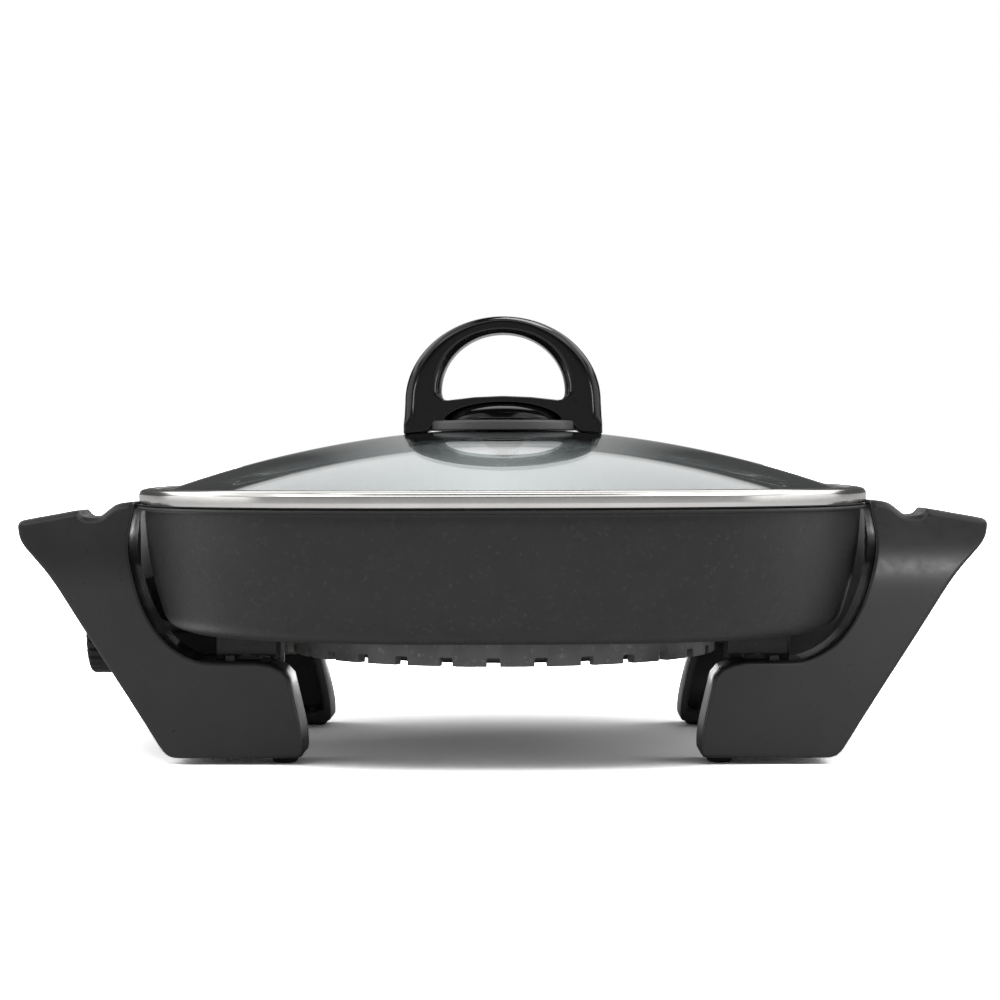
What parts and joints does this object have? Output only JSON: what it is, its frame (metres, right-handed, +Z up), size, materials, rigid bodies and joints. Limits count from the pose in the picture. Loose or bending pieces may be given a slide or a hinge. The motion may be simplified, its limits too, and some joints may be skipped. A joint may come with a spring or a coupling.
{
  "type": "electric skillet",
  "caption": "Square electric skillet with a domed glass lid, looped lid handle, moulded handle-and-leg sides and a plug-in temperature control.",
  "frame": {"origin": "on the table, under the middle of the pan", "axes": "+Z up, +X along the line through the two side handles with the temperature control on the -X side, -Y towards the front that the picture shows"},
  "size_m": [0.389, 0.3056, 0.1835],
  "materials": {
    "cast_nonstick": "dark grey fine-speckled non-stick coating on a cast aluminium pan",
    "cast_metal": "bare cast metal",
    "element_sheath": "matt oxidised metal sheath",
    "plated_steel": "bright zinc plating",
    "ceramic": "unglazed steatite",
    "black_moulding": "satin black heat-proof moulding with polished edges",
    "foot_rubber": "matt black rubber",
    "lid_glass": "clear tempered glass with a faint blue-green tint",
    "rim_steel": "polished stainless steel",
    "seal_rubber": "dark heat-proof rubber",
    "gloss_moulding": "gloss black heat-proof moulding",
    "control_moulding": "black moulding with a fine grain",
    "contact_brass": "bright spring brass",
    "probe_steel": "drawn stainless steel",
    "pilot_amber": "translucent amber lens"
  },
  "bodies": {
    "base": {"skillet_pan": "cast_nonstick", "heating_element": "element_sheath", "element_clamps": "plated_steel", "terminal_pins": "plated_steel", "terminal_bushings": "ceramic", "probe_socket": "cast_metal", "terminal_guard": "plated_steel", "guard_screws": "plated_steel", "handle_left": "black_moulding", "handle_right": "black_moulding", "handle_screws": "plated_steel", "screw_washers": "plated_steel", "rubber_feet": "foot_rubber"},
    "lid": {"lid_glass": "lid_glass", "lid_rim": "rim_steel", "glass_gasket": "seal_rubber", "lid_handle": "gloss_moulding", "handle_skirt": "gloss_moulding", "seal_washer": "seal_rubber", "under_washer": "seal_rubber", "lid_screw": "plated_steel", "vent_grommet": "rim_steel"},
    "control": {"control_cover": "control_moulding", "control_base": "control_moulding", "contact_sleeves": "contact_brass", "probe_rod": "probe_steel", "thermostat_block": "ceramic", "thermostat_blade": "contact_brass", "contact_leads": "contact_brass", "pilot_lens": "pilot_amber", "cord_gland": "seal_rubber", "control_screws": "plated_steel"},
    "dial": {"temperature_dial": "control_moulding", "dial_shaft": "probe_steel", "thermostat_cam": "ceramic"}
  },
  "joints": [
    {"name": "lid_lift", "type": "slide", "parent": "base", "child": "lid", "axis": [0, 0, 1], "range_m": [0, 0.12]},
    {"name": "control_unplug", "type": "slide", "parent": "base", "child": "control", "axis": [-1, 0, 0], "range_m": [0, 0.08]},
    {"name": "dial_turn", "type": "hinge", "parent": "control", "child": "dial", "pos_m": [-0.17, 0, 0.049], "axis": [-1, 0, 0], "range_deg": [0, 270]}
  ]
}
